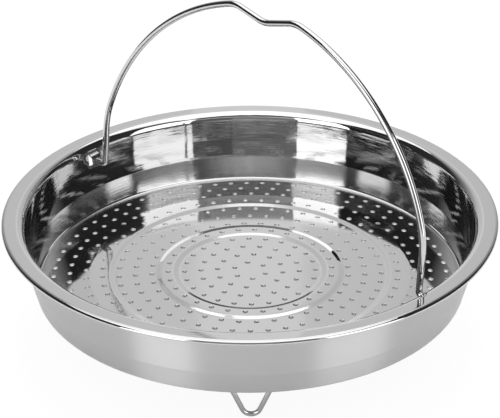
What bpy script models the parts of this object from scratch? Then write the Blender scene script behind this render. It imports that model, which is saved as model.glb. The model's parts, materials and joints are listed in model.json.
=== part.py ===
"""Steamer basket: a pressed, perforated steel bowl with a flat rim, a swinging
wire bail held in two bridge lugs, and three wire feet.

Run it in Blender's text editor, or with blender --background --python part.py.
Units are metres and +Z is up.  The feet stand on z = 0 and the bowl's axis is
the Z axis.  The bail turns about the X direction.
"""
import math

import bmesh
import bpy
import numpy
from mathutils import Matrix, Vector, geometry

# Sheet and overall sizes, with the radius measured inside the wall at the rim
SHEET = 0.0007
WALL_TOP_RADIUS = 0.1274
RIM_HEIGHT = 0.0732
GAP = 0.0003

# Rim
RIM_WIDTH = 0.0126
RIM_RADIUS = WALL_TOP_RADIUS + RIM_WIDTH
LIP_ROUND = 0.0022
HEM_DROP = 0.0018
HEM_ROUND = 0.0009

# Wall, measured inside, with depths below the rim
KNUCKLE_DRAFT = 0.0023
KNUCKLE_RADIUS = WALL_TOP_RADIUS - KNUCKLE_DRAFT
KNUCKLE_DEPTH = 0.029
BASE_DRAFT = 0.0058
BASE_RADIUS = WALL_TOP_RADIUS - BASE_DRAFT
BASE_DEPTH = 0.0426
BASE_ROUND = 0.0020

# Floor, measured on its upper face
FLOOR_DEPTH = 0.0393
BEAD_RADIUS = 0.0475
BEAD_WIDTH = 0.0110
BEAD_SLOPE = 0.0015
BEAD_HEIGHT = 0.0009
STEP_RADIUS = 0.0794
STEP_SLOPE = 0.0038
STEP_RISE = 0.0005
SHELF_RADIUS = 0.0915

# Perforations, in rings that each hold six holes more than the one inside it
RING_GROWTH = 6
HOLE_PITCH = 0.00941
HOLE_ACROSS = 0.00245
HOLE_EDGE_MARGIN = 0.0060
FIRST_HOLE_ANGLE = 19.9

# Bail, measured from its pivot axis and along the wire's centre line
BAIL_WIRE = 0.0038
PIVOT_DEPTH = 0.0090
BAIL_WALL_CLEARANCE = 0.0092
BAIL_HEIGHT = 0.1263
BAIL_LEG = 0.0222
BAIL_SHOULDER_ROUND = 0.0555
BAIL_ARCH_ROUND = 0.1329
GRIP_HALF_WIDTH = 0.0216
GRIP_DIP = 0.0056
GRIP_ROUND = 0.006
BAIL_END_ROUND = 0.0026
BAIL_TILT = 5.1
BAIL_SIDE_PLAY = 0.0020
BAIL_HEAD_ACROSS = 0.0053
BAIL_HEAD_LENGTH = 0.0009
BAIL_HEAD_CLEARANCE = 0.0006

# Lugs
LUG_THICKNESS = 0.0008
LUG_WIDTH = 0.0066
LUG_HEIGHT = 0.0112
LUG_TAB = 0.0016
LUG_SLOPE = 0.0008
LUG_STAND_OFF = 0.0043
LUG_HOLE_CLEARANCE = 0.0003

# Wall windows behind the lugs
WINDOW_WIDTH = 0.0060
WINDOW_HEIGHT = 0.0105

# Feet
FOOT_WIRE = 0.0028
FOOT_INSET = 0.0236
FOOT_RADIUS = BASE_RADIUS - FOOT_INSET
FOOT_COUNT = 3
FIRST_FOOT_ANGLE = -48.5
FOOT_SPREAD = 24.0
FOOT_BEND_ROUND = 0.0052
FOOT_END_ROUND = 0.0030
FOOT_END_LENGTH = 0.0100

# Mesh fineness, with angles in degrees
BOWL_SEGMENTS = 36
HOLE_SIDES = 4
LUG_HOLE_SIDES = 12
WIRE_SIDES = 12
ARC_STEP = 9.0
TIGHT_ARC_STEP = 22.5
NEARLY_STRAIGHT = 179.0
SHARP_ANGLE = 50.0
MERGE = 0.00001
FOOT_FIT_ROUNDS = 4

STEEL = (0.60, 0.60, 0.59, 1.0)
ROUGHNESS = {"polished": 0.10, "pressed": 0.16, "tumbled": 0.22}


def clear_scene():
    """Take away whatever the scene holds before the model is made."""
    for thing in list(bpy.data.objects):
        bpy.data.objects.remove(thing, do_unlink=True)


def steel(name, roughness):
    """Make one stainless steel material."""
    material = bpy.data.materials.new(name)
    material.use_nodes = True
    shader = material.node_tree.nodes["Principled BSDF"]
    shader.inputs["Base Color"].default_value = STEEL
    shader.inputs["Metallic"].default_value = 1.0
    shader.inputs["Roughness"].default_value = roughness
    material.diffuse_color = STEEL
    return material


def add_object(name, data, material=None):
    """Put mesh or curve data in the scene as one named object."""
    thing = bpy.data.objects.new(name, data)
    bpy.context.scene.collection.objects.link(thing)
    if material is not None:
        data.materials.append(material)
    return thing


def shaded_mesh(name, bm):
    """Write a bmesh to a mesh that is smooth between its sharp edges."""
    mesh = bpy.data.meshes.new(name)
    bm.to_mesh(mesh)
    bm.free()
    mesh.shade_smooth()
    mesh.set_sharp_from_angle(angle=math.radians(SHARP_ANGLE))
    return mesh


def mesh_from(name, bm):
    """Write a closed bmesh to a mesh with its faces pointing out."""
    bmesh.ops.recalc_face_normals(bm, faces=bm.faces[:])
    return shaded_mesh(name, bm)


def as_cutter(thing):
    """Mark an object as a cutter, which isn't a piece of the basket."""
    thing.hide_render = True
    thing.display_type = "WIRE"
    return thing


def cut(target, cutter):
    """Cut one object's shape out of another."""
    boolean = target.modifiers.new("cut_" + cutter.name, "BOOLEAN")
    boolean.operation = "DIFFERENCE"
    boolean.solver = "EXACT"
    boolean.object = as_cutter(cutter)


def rounded_line(corners, step):
    """Round a line of (x, y, radius) corners with tangent arcs."""
    line = [Vector(corners[0][:2])]
    for before, corner, after in zip(corners, corners[1:], corners[2:]):
        point = Vector(corner[:2])
        radius = corner[2]
        back = (Vector(before[:2]) - point).normalized()
        ahead = (Vector(after[:2]) - point).normalized()
        half = math.acos(max(-1.0, min(1.0, back.dot(ahead)))) / 2
        if radius <= 0 or 2 * half > math.radians(NEARLY_STRAIGHT):
            line.append(point)
            continue
        centre = point + (back + ahead).normalized() * radius / math.sin(half)
        start = point + back * radius / math.tan(half) - centre
        turn = math.pi - 2 * half
        if start.x * back.y - start.y * back.x > 0:
            turn = -turn
        count = max(1, round(abs(math.degrees(turn)) / step))
        for index in range(count + 1):
            line.append(centre + Matrix.Rotation(turn * index / count, 2) @ start)
    line.append(Vector(corners[-1][:2]))
    return line


def beside(line, distance):
    """Return a line at a distance to the right of another, with mitred corners."""
    result = []
    for index, point in enumerate(line):
        before = line[max(index - 1, 0)]
        after = line[min(index + 1, len(line) - 1)]
        ways = [way.normalized() for way in (point - before, after - point) if way.length > 0]
        sides = [Vector((way.y, -way.x)) for way in ways]
        middle = sum(sides, Vector((0.0, 0.0))).normalized()
        result.append(point + middle * distance / middle.dot(sides[0]))
    return result


def height(depth):
    """Turn a depth below the rim into a height above the ground."""
    return RIM_HEIGHT - depth


def along(start, end, share):
    """Find a value between two others."""
    return start + (end - start) * share


def wall_inside(z):
    """Give the wall's inside radius at a height, on its straight upper part."""
    share = (RIM_HEIGHT - z) / KNUCKLE_DEPTH
    return along(WALL_TOP_RADIUS, KNUCKLE_RADIUS, share)


def shelf_height():
    """Give the height of the flat shelf outside the floor's step."""
    return height(FLOOR_DEPTH) + STEP_RISE


def floor_underside(radius):
    """Give the underside's height on the sloping outer floor."""
    share = (radius - SHELF_RADIUS) / (BASE_RADIUS - SHELF_RADIUS)
    top = along(shelf_height(), height(BASE_DEPTH), max(0.0, share))
    return top - SHEET


def floor_line():
    """Draw the floor's upper face from its axis out to the base round."""
    floor = height(FLOOR_DEPTH)
    shelf = shelf_height()
    bead_in = BEAD_RADIUS - BEAD_WIDTH / 2
    bead_out = BEAD_RADIUS + BEAD_WIDTH / 2
    step_in = STEP_RADIUS - STEP_SLOPE / 2
    step_out = STEP_RADIUS + STEP_SLOPE / 2
    return [
        (0.0, floor, 0.0),
        (bead_in, floor, 0.0),
        (bead_in + BEAD_SLOPE, floor + BEAD_HEIGHT, 0.0),
        (bead_out - BEAD_SLOPE, floor + BEAD_HEIGHT, 0.0),
        (bead_out, floor, 0.0),
        (step_in, floor, 0.0),
        (step_out, shelf, 0.0),
        (SHELF_RADIUS, shelf, 0.0),
    ]


def wall_line():
    """Draw the wall's inside face and the rim, from the floor's edge to the hem."""
    return [
        (BASE_RADIUS, height(BASE_DEPTH), BASE_ROUND),
        (KNUCKLE_RADIUS, height(KNUCKLE_DEPTH), 0.0),
        (WALL_TOP_RADIUS, RIM_HEIGHT, LIP_ROUND),
        (RIM_RADIUS, RIM_HEIGHT, HEM_ROUND),
        (RIM_RADIUS, RIM_HEIGHT - HEM_DROP, 0.0),
    ]


def circle_points(radius, count, start=0.0):
    """List the corners of a regular polygon in the floor's plane."""
    turns = [start + math.tau * index / count for index in range(count)]
    return [Vector((radius * math.cos(turn), radius * math.sin(turn))) for turn in turns]


def hole_outlines():
    """List the outline of each perforation, ring by ring."""
    # A polygon with the area of the round hole has this radius to its corners.
    share = math.sqrt(math.tau / (HOLE_SIDES * math.sin(math.tau / HOLE_SIDES)))
    reach = HOLE_ACROSS / 2 * share
    outlines = []
    rings = int((BASE_RADIUS - HOLE_EDGE_MARGIN) / HOLE_PITCH)
    for ring in range(1, rings + 1):
        count = RING_GROWTH * ring
        start = math.radians(FIRST_HOLE_ANGLE)
        if ring % 2 == 0:
            start += math.pi / count
        for index, centre in enumerate(circle_points(ring * HOLE_PITCH, count, start)):
            turn = start + math.tau * index / count
            outlines.append([centre + corner for corner in circle_points(reach, HOLE_SIDES, turn)])
    return outlines


def add_floor(bm, line):
    """Add the perforated floor, triangulated between its rings and its holes."""
    points = []
    edges = []
    for place in line[1:]:
        first = len(points)
        points += circle_points(place.x, BOWL_SEGMENTS)
        edges += [(first + i, first + (i + 1) % BOWL_SEGMENTS) for i in range(BOWL_SEGMENTS)]
    holes = []
    for outline in hole_outlines():
        holes.append(list(range(len(points), len(points) + len(outline))))
        points += outline
    flat = geometry.delaunay_2d_cdt(points, edges, holes, 1, MERGE)
    radii = [place.x for place in line]
    heights = [place.y for place in line]
    corners = []
    for point in flat[0]:
        corners.append(bm.verts.new((point.x, point.y, numpy.interp(point.length, radii, heights))))
    for face, inside_holes in zip(flat[2], flat[5]):
        if not inside_holes:
            bm.faces.new([corners[index] for index in face])


def add_wall(bm, line):
    """Add the wall and the rim by spinning their profile round the Z axis."""
    corners = [bm.verts.new((point.x, 0.0, point.y)) for point in line]
    edges = [bm.edges.new(pair) for pair in zip(corners, corners[1:])]
    bmesh.ops.spin(
        bm,
        geom=corners + edges,
        cent=(0.0, 0.0, 0.0),
        axis=(0.0, 0.0, 1.0),
        angle=math.tau,
        steps=BOWL_SEGMENTS,
        use_merge=True,
    )


def bowl_sheet():
    """Make the bowl's inside face as one open sheet whose faces point inwards."""
    line = rounded_line(floor_line() + wall_line(), 2 * TIGHT_ARC_STEP)
    floor_count = len(floor_line()) + 1
    bm = bmesh.new()
    add_floor(bm, line[:floor_count])
    add_wall(bm, line[floor_count - 1:])
    bmesh.ops.remove_doubles(bm, verts=bm.verts[:], dist=MERGE)
    bmesh.ops.recalc_face_normals(bm, faces=bm.faces[:])
    middle = min(bm.faces, key=lambda face: face.calc_center_median().xy.length)
    if middle.normal.z < 0:
        bmesh.ops.reverse_faces(bm, faces=bm.faces[:])
    return shaded_mesh("basket_bowl", bm)


def window_cutter(name, side):
    """Make the cutter for the wall window behind one lug."""
    bm = bmesh.new()
    middle = height(PIVOT_DEPTH)
    size = Matrix.Diagonal((2 * LUG_STAND_OFF, WINDOW_WIDTH, WINDOW_HEIGHT, 1.0))
    place = Matrix.Translation((side * wall_inside(middle), 0.0, middle))
    bmesh.ops.create_cube(bm, size=1.0, matrix=place @ size)
    return add_object(name, mesh_from(name, bm))


def make_bowl():
    """Make the pressed bowl with its rim, perforations and lug windows."""
    bowl = add_object("basket_bowl", bowl_sheet(), steel("bowl_steel", ROUGHNESS["pressed"]))
    thicken = bowl.modifiers.new("sheet", "SOLIDIFY")
    thicken.thickness = SHEET
    thicken.offset = -1.0
    thicken.use_even_offset = True
    cut(bowl, window_cutter("window_cutter_right", 1))
    cut(bowl, window_cutter("window_cutter_left", -1))
    shading = bowl.modifiers.new("shading", "WEIGHTED_NORMAL")
    shading.keep_sharp = True
    return bowl


def lug_outline():
    """Draw the lug's strip from the side, as distances off its seat and heights."""
    half = LUG_HEIGHT / 2
    crown = half - LUG_TAB - LUG_SLOPE
    face = LUG_STAND_OFF
    corners = [
        (LUG_THICKNESS, -half, 0.0),
        (LUG_THICKNESS, -half + LUG_TAB, LUG_THICKNESS),
        (face, -crown, 2 * LUG_THICKNESS),
        (face, crown, 2 * LUG_THICKNESS),
        (LUG_THICKNESS, half - LUG_TAB, LUG_THICKNESS),
        (LUG_THICKNESS, half, 0.0),
    ]
    front = rounded_line(corners, TIGHT_ARC_STEP)
    back = beside(front, -LUG_THICKNESS)
    return front + back[::-1]


def lug_hole_cutter(name, side):
    """Make the cutter for one lug's pivot hole, on the bail's pivot axis."""
    bm = bmesh.new()
    middle = height(PIVOT_DEPTH)
    radius = BAIL_WIRE / 2 + LUG_HOLE_CLEARANCE
    place = Matrix.Translation((side * (wall_inside(middle) - LUG_STAND_OFF), 0.0, middle))
    bmesh.ops.create_cone(
        bm,
        cap_ends=True,
        segments=LUG_HOLE_SIDES,
        radius1=radius,
        radius2=radius,
        depth=2 * LUG_STAND_OFF,
        matrix=place @ Matrix.Rotation(math.pi / 2, 4, "Y"),
    )
    return add_object(name, mesh_from(name, bm))


def make_lug(name, side):
    """Make one bridge lug, seated on the wall, with its pivot hole."""
    middle = height(PIVOT_DEPTH)
    top_seat = wall_inside(middle + LUG_HEIGHT / 2)
    low_seat = wall_inside(middle - LUG_HEIGHT / 2)
    facet = LUG_WIDTH / 2 * math.tan(math.pi / BOWL_SEGMENTS)
    bm = bmesh.new()
    corners = []
    for point in lug_outline():
        share = point.y / LUG_HEIGHT + 0.5
        seat = along(low_seat, top_seat, share) - facet - GAP
        corners.append(bm.verts.new((seat - point.x, -LUG_WIDTH / 2, middle + point.y)))
    face = bm.faces.new(corners)
    moved = bmesh.ops.extrude_face_region(bm, geom=[face])["geom"]
    tops = [item for item in moved if isinstance(item, bmesh.types.BMVert)]
    bmesh.ops.translate(bm, verts=tops, vec=(0.0, LUG_WIDTH, 0.0))
    if side < 0:
        bmesh.ops.rotate(bm, verts=bm.verts[:], matrix=Matrix.Rotation(math.pi, 3, "Z"))
    lug = add_object(name, mesh_from(name, bm), steel(name + "_steel", ROUGHNESS["tumbled"]))
    cut(lug, lug_hole_cutter(name + "_hole_cutter", side))
    return lug


def bail_half_span():
    """Give the distance of a bail leg from the bail's middle."""
    return wall_inside(height(PIVOT_DEPTH)) - BAIL_WALL_CLEARANCE


def arch_centre():
    """Find the centre of the bail's arch, tangent to its shoulder arc."""
    shoulder = Vector((bail_half_span() - BAIL_SHOULDER_ROUND, BAIL_LEG))
    corner = Vector((GRIP_HALF_WIDTH, BAIL_HEIGHT))
    apart = corner - shoulder
    inward = BAIL_ARCH_ROUND - BAIL_SHOULDER_ROUND
    cosine = (inward ** 2 + apart.length ** 2 - BAIL_ARCH_ROUND ** 2) / (2 * inward * apart.length)
    turn = math.acos(max(-1.0, min(1.0, cosine)))
    way = Matrix.Rotation(turn, 2) @ apart.normalized()
    return shoulder + way * inward


def arc_points(centre, radius, start, end, step):
    """List the points of an arc, without its first one."""
    count = max(2, round(abs(math.degrees(end - start)) / step))
    turns = [along(start, end, index / count) for index in range(1, count + 1)]
    return [centre + radius * Vector((math.cos(turn), math.sin(turn))) for turn in turns]


def bail_half():
    """Draw one half of the bail, from the foot of its leg to the grip's middle."""
    half_span = bail_half_span()
    shoulder = Vector((half_span - BAIL_SHOULDER_ROUND, BAIL_LEG))
    arch = arch_centre()
    joined = math.atan2(shoulder.y - arch.y, shoulder.x - arch.x)
    corner = Vector((GRIP_HALF_WIDTH, BAIL_HEIGHT))
    last = math.atan2(corner.y - arch.y, corner.x - arch.x)
    line = [Vector((half_span, BAIL_LEG))]
    line += arc_points(shoulder, BAIL_SHOULDER_ROUND, 0.0, joined, ARC_STEP)
    before_grip = arc_points(arch, BAIL_ARCH_ROUND, joined, last, ARC_STEP / 2)
    line += before_grip[:-2]
    grip = [
        (before_grip[-2].x, before_grip[-2].y, 0.0),
        (corner.x, corner.y, GRIP_ROUND),
        (0.0, BAIL_HEIGHT - GRIP_DIP, 0.0),
    ]
    return line + rounded_line(grip, ARC_STEP)


def head_place():
    """Give the inner face of the bail's end heads, off its middle."""
    strip = wall_inside(height(PIVOT_DEPTH)) - GAP - LUG_STAND_OFF + LUG_THICKNESS
    return strip + BAIL_SIDE_PLAY + BAIL_HEAD_CLEARANCE


def bail_side(sign):
    """List one side's centre line points and wire widths, from the head inward."""
    head = head_place()
    half_span = bail_half_span()
    widths = [BAIL_HEAD_ACROSS, BAIL_HEAD_ACROSS, BAIL_WIRE]
    ends = [head + BAIL_HEAD_LENGTH, head, head - BAIL_HEAD_CLEARANCE / 2]
    points = [Vector((place, 0.0)) for place in ends]
    bend = rounded_line(
        [
            (ends[-1], 0.0, 0.0),
            (half_span, 0.0, BAIL_END_ROUND),
            (half_span, BAIL_LEG, 0.0),
        ],
        TIGHT_ARC_STEP,
    )
    points += bend[1:-1] + bail_half()
    widths += [BAIL_WIRE] * (len(points) - len(widths))
    return [(Vector((sign * point.x, point.y)), width) for point, width in zip(points, widths)]


def wire_object(name, points, wire, widths, roughness):
    """Make one wire as a bevelled curve with closed ends."""
    curve = bpy.data.curves.new(name, "CURVE")
    curve.dimensions = "3D"
    curve.bevel_depth = wire / 2
    curve.bevel_resolution = WIRE_SIDES // 4 - 1
    curve.render_resolution_u = 0
    curve.use_fill_caps = True
    spline = curve.splines.new("POLY")
    spline.points.add(len(points) - 1)
    for place, point, width in zip(spline.points, points, widths):
        place.co = (point.x, point.y, point.z, 1.0)
        place.radius = width / wire
    return add_object(name, curve, steel(name + "_steel", roughness))


def make_bail():
    """Make the bail, hung on an empty that lies on its pivot axis."""
    pivot = bpy.data.objects.new("bail_pivot", None)
    bpy.context.scene.collection.objects.link(pivot)
    pivot.location = (0.0, 0.0, height(PIVOT_DEPTH))
    pivot.rotation_euler = (math.radians(-BAIL_TILT), 0.0, 0.0)
    right = bail_side(1)
    left = bail_side(-1)
    route = right + left[::-1][1:]
    points = [Vector((BAIL_SIDE_PLAY + flat.x, 0.0, flat.y)) for flat, _ in route]
    widths = [width for _, width in route]
    bail = wire_object("bail_handle", points, BAIL_WIRE, widths, ROUGHNESS["polished"])
    bail.parent = pivot
    return bail


def foot_line():
    """Draw one foot's centre line, as distances along it and heights."""
    radius = FOOT_WIRE / 2
    slope = math.tan(math.radians(FOOT_SPREAD))
    tip = radius - FOOT_BEND_ROUND * (1 / math.sin(math.radians(FOOT_SPREAD)) - 1)
    far = FOOT_END_LENGTH
    # The floor falls outwards, so the wire's height and its reach settle together.
    for _ in range(FOOT_FIT_ROUNDS):
        top = floor_underside(math.hypot(FOOT_RADIUS + radius, far)) - radius - GAP
        reach = (top - tip) * slope
        far = reach + FOOT_END_LENGTH
    return rounded_line(
        [
            (-far, top, 0.0),
            (-reach, top, FOOT_END_ROUND),
            (0.0, tip, FOOT_BEND_ROUND),
            (reach, top, FOOT_END_ROUND),
            (far, top, 0.0),
        ],
        TIGHT_ARC_STEP,
    )


def make_foot(name, degrees):
    """Make one V-shaped wire foot with flat ends under the floor."""
    points = [Vector((FOOT_RADIUS, point.x, point.y)) for point in foot_line()]
    widths = [FOOT_WIRE] * len(points)
    foot = wire_object(name, points, FOOT_WIRE, widths, ROUGHNESS["polished"])
    foot.rotation_euler = (0.0, 0.0, math.radians(degrees))
    return foot


def main():
    """Build the whole basket."""
    clear_scene()
    make_bowl()
    make_lug("bail_lug_right", 1)
    make_lug("bail_lug_left", -1)
    make_bail()
    for index in range(FOOT_COUNT):
        make_foot("wire_foot_%d" % (index + 1), FIRST_FOOT_ANGLE + 360 / FOOT_COUNT * index)


main()
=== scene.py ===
# %% [markdown]
# # A steamer basket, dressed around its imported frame
#
# The basket is seven pieces of stainless steel: one pressed bowl with 468 round
# perforations, a wire bail that swings in two small lugs, and three bent wire feet.
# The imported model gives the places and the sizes.  This script makes the fine
# surfaces, the polish and the studio that the polish mirrors.

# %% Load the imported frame
import json
import math

import bmesh
import bpy
import numpy as np
from mathutils import Matrix, Vector


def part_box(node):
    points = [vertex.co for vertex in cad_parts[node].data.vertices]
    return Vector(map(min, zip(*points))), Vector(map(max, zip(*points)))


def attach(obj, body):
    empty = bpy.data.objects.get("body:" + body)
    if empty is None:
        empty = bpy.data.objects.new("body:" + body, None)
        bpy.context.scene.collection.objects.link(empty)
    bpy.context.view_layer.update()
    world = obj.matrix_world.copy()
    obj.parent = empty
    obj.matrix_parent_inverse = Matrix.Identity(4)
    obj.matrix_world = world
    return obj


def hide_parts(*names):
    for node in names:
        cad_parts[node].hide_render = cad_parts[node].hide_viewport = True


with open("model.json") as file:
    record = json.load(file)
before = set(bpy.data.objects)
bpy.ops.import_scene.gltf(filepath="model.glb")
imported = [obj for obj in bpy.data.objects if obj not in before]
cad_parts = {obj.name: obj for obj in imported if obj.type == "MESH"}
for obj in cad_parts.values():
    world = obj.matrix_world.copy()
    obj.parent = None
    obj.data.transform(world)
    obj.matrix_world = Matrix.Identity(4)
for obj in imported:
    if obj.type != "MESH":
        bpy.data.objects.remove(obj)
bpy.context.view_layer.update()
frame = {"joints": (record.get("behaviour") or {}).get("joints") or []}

# %% [markdown]
# ## What the frame already settles
#
# The rim's height and radius and the bail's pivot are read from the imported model, and
# everything else is measured from them, so no dressed piece can drift off its solid.

# %% Read the driving sizes
bowl_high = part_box("basket_bowl")[1]
RIM_TOP = bowl_high.z
RIM_RADIUS = bowl_high.x
PIVOT = Vector(frame["joints"][0]["pos_m"])
print("rim at", round(RIM_TOP, 4), "radius", round(RIM_RADIUS, 4), "pivot", round(PIVOT.z, 4))

# %% [markdown]
# ## Node trees written as arithmetic
#
# Both shaders and Geometry Nodes are graphs of small nodes.  Two classes keep them
# readable: `Value` wraps one socket and turns `+ - * /` into Math nodes, and `Graph`
# adds every other kind of node from its type, its settings and its socket values.


# %% Arithmetic on sockets
class Value:
    """One output socket of a node tree, which can be used in arithmetic."""

    def __init__(self, graph, socket):
        self.graph = graph
        self.socket = socket

    def math(self, operation, *others, clamp=False):
        settings = {"operation": operation, "use_clamp": clamp}
        return self.graph.add("ShaderNodeMath", settings, dict(enumerate((self, *others))))

    def __add__(self, other):
        return self.math("ADD", other)

    def __mul__(self, other):
        return self.math("MULTIPLY", other)

    def __sub__(self, other):
        return self.math("SUBTRACT", other)

    def __truediv__(self, other):
        return self.math("DIVIDE", other)

    def __rsub__(self, other):
        return self.graph.add("ShaderNodeMath", {"operation": "SUBTRACT"}, {0: other, 1: self})

    def __rtruediv__(self, other):
        return self.graph.add("ShaderNodeMath", {"operation": "DIVIDE"}, {0: other, 1: self})

    __radd__ = __add__
    __rmul__ = __mul__


class Graph:
    """A node tree whose nodes are added by type, settings and socket values."""

    def __init__(self, tree):
        self.tree = tree

    def node(self, kind, settings=None, sockets=None):
        """Add a node, set it up first, and then fill or link its sockets."""
        made = self.tree.nodes.new(kind)
        for name, value in (settings or {}).items():
            setattr(made, name, value)
        for key, value in (sockets or {}).items():
            self.plug(made, key, value)
        return made

    def add(self, kind, settings=None, sockets=None, output=0):
        """Add a node and return one of its outputs as a value."""
        return Value(self, self.node(kind, settings, sockets).outputs[output])

    def plug(self, made, key, value):
        """Fill a socket, found by its place, its identifier or its name."""
        socket = made.inputs[key] if isinstance(key, int) else None
        if socket is None:
            named = [s for s in made.inputs if s.identifier == key or s.name == key]
            socket = next((s for s in named if s.enabled), named[0])
        if isinstance(value, Value):
            self.tree.links.new(value.socket, socket)
        elif value is not None:
            socket.default_value = value


print("node helpers ready")

# %% [markdown]
# ## Geometry Nodes trees with named inputs
#
# A tree gets its sizes through named inputs.  A modifier knows an input only by the
# socket's identifier, so one function looks that up, and another turns the result
# into a plain mesh and takes the modifier away again.


# %% Geometry tree helpers
def geometry_tree(name, inputs):
    """Start a geometry tree with named inputs, and return it with those inputs as values."""
    tree = bpy.data.node_groups.new(name, "GeometryNodeTree")
    tree.interface.new_socket("Geometry", in_out="INPUT", socket_type="NodeSocketGeometry")
    for label, kind in inputs.items():
        tree.interface.new_socket(label, in_out="INPUT", socket_type="NodeSocket" + kind)
    tree.interface.new_socket("Geometry", in_out="OUTPUT", socket_type="NodeSocketGeometry")
    graph = Graph(tree)
    start = graph.node("NodeGroupInput")
    given = {socket.name: Value(graph, socket) for socket in start.outputs if socket.name}
    return graph, given


def end_tree(graph, geometry, material):
    """Close a geometry tree the way the export needs: realised, and with its material."""
    plain = graph.add("GeometryNodeRealizeInstances", {}, {"Geometry": geometry})
    dressed = graph.add("GeometryNodeSetMaterial", {}, {"Geometry": plain, "Material": material})
    graph.node("NodeGroupOutput", {}, {"Geometry": dressed})


def linked(name, data):
    """Put mesh data in the scene as one named object."""
    thing = bpy.data.objects.new(name, data)
    bpy.context.scene.collection.objects.link(thing)
    return thing


def run_tree(thing, graph, values):
    """Run a tree on an object and keep the result as its plain mesh."""
    modifier = thing.modifiers.new(graph.tree.name, "NODES")
    modifier.node_group = graph.tree
    for item in graph.tree.interface.items_tree:
        if item.in_out == "INPUT" and item.name in values:
            modifier[item.identifier] = values[item.name]
    return settle(thing)


def settle(thing):
    """Turn an object's live modifiers into a plain mesh."""
    bpy.context.view_layer.update()
    evaluated = thing.evaluated_get(bpy.context.evaluated_depsgraph_get())
    mesh = bpy.data.meshes.new_from_object(evaluated)
    thing.modifiers.clear()
    thing.data = mesh
    mesh.name = thing.name
    return thing


print("geometry tree helpers ready")

# %% [markdown]
# ## Drawing with tangent arcs
#
# Pressed sheet and bent wire have no sharp corners: each is straight runs joined by
# tangent arcs.  One function rounds a line of corners that each carry a radius.


# %% Rounded lines
def rounded_line(corners, step):
    """Round a line of (x, y, radius) corners with tangent arcs of about step degrees."""
    line = [Vector(corners[0][:2])]
    for before, corner, after in zip(corners, corners[1:], corners[2:]):
        point = Vector(corner[:2])
        back = (Vector(before[:2]) - point).normalized()
        ahead = (Vector(after[:2]) - point).normalized()
        half = math.acos(max(-1.0, min(1.0, back.dot(ahead)))) / 2
        radius = corner[2]
        if radius <= 0:
            line.append(point)
            continue
        centre = point + (back + ahead).normalized() * radius / math.sin(half)
        start = point + back * radius / math.tan(half) - centre
        turn = math.pi - 2 * half
        if start.x * back.y - start.y * back.x > 0:
            turn = -turn
        count = max(1, round(abs(math.degrees(turn)) / step))
        line += [centre + Matrix.Rotation(turn * i / count, 2) @ start for i in range(count + 1)]
    line.append(Vector(corners[-1][:2]))
    return line


def beside(line, distance):
    """Return a line at a distance to the right of another, with mitred corners."""
    result = []
    for index, point in enumerate(line):
        before = line[max(index - 1, 0)]
        after = line[min(index + 1, len(line) - 1)]
        ways = [way.normalized() for way in (point - before, after - point) if way.length > 0]
        sides = [Vector((way.y, -way.x)) for way in ways]
        middle = sum(sides, Vector((0.0, 0.0))).normalized()
        result.append(point + middle * distance / middle.dot(sides[0]))
    return result


print("rounded lines ready")

# %% [markdown]
# ## From an outline to a solid
#
# An outline becomes a solid in one of two ways here: it is pulled straight into a
# prism, or it is spun about the Z axis.


# %% Prisms and turned shapes
def mesh_from(bm, name):
    """Turn a bmesh into named mesh data, and free it."""
    mesh = bpy.data.meshes.new(name)
    bm.to_mesh(mesh)
    bm.free()
    return mesh


def pull(bm, ring, way):
    """Close a ring of vertices with a face, and pull that out into a prism."""
    moved = bmesh.ops.extrude_face_region(bm, geom=[bm.faces.new(ring)])["geom"]
    ends = [item for item in moved if isinstance(item, bmesh.types.BMVert)]
    bmesh.ops.translate(bm, verts=ends, vec=way)


def spin(places, sides, closed):
    """Spin a line of (radius, height) places about the Z axis."""
    bm = bmesh.new()
    points = [bm.verts.new((x, 0.0, z)) for x, z in places]
    following = points[1:] + points[:1] if closed else points[1:]
    edges = [bm.edges.new(pair) for pair in zip(points, following)]
    bmesh.ops.spin(bm, geom=points + edges, cent=(0, 0, 0), axis=(0, 0, 1), angle=math.tau,
                   steps=sides, use_merge=True)
    return bm


print("solid helpers ready")

# %% [markdown]
# ## The section of the bowl
#
# Everything round on the basket follows from one half section, drawn on the inside
# face: a flat floor with a raised ring bead, a small step up to a shelf, a floor that
# falls to the base round, a wall with a knuckle, the lip, the flat rim and its hem.
# Radii are measured from the axis, and depths down from the rim's top.

# %% Draw the half section
SHEET = 0.0007
FLOOR_DEPTH = 0.0393
FLOOR = RIM_TOP - FLOOR_DEPTH
BEAD_RADIUS = 0.0475
BEAD_HEIGHT = 0.0008
BEAD_HALF = 0.0064
BEAD_SLOPE = 0.0030
BEAD_ROUND = 0.0045
STEP_RADIUS = 0.0794
STEP_RISE = 0.0007
STEP_HALF = 0.0014
STEP_ROUND = 0.0022
SHELF = FLOOR + STEP_RISE
SHELF_RADIUS = 0.0915
SHELF_ROUND = 0.010
BASE_RADIUS = 0.1216
BASE_DEPTH = 0.0426
BASE_ROUND = 0.0020
KNUCKLE_RADIUS = 0.1251
KNUCKLE_DEPTH = 0.029
KNUCKLE_ROUND = 0.003
WALL_TOP_RADIUS = 0.1274
LIP_ROUND = 0.0055
HEM_DROP = 0.0022
EDGE_WIDTH = 0.0018
EDGE_FALL = 0.0008
EDGE_START_ROUND = 0.003
EDGE_ROUND = 0.0014
JOIN_RADIUS = 0.1165

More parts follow.
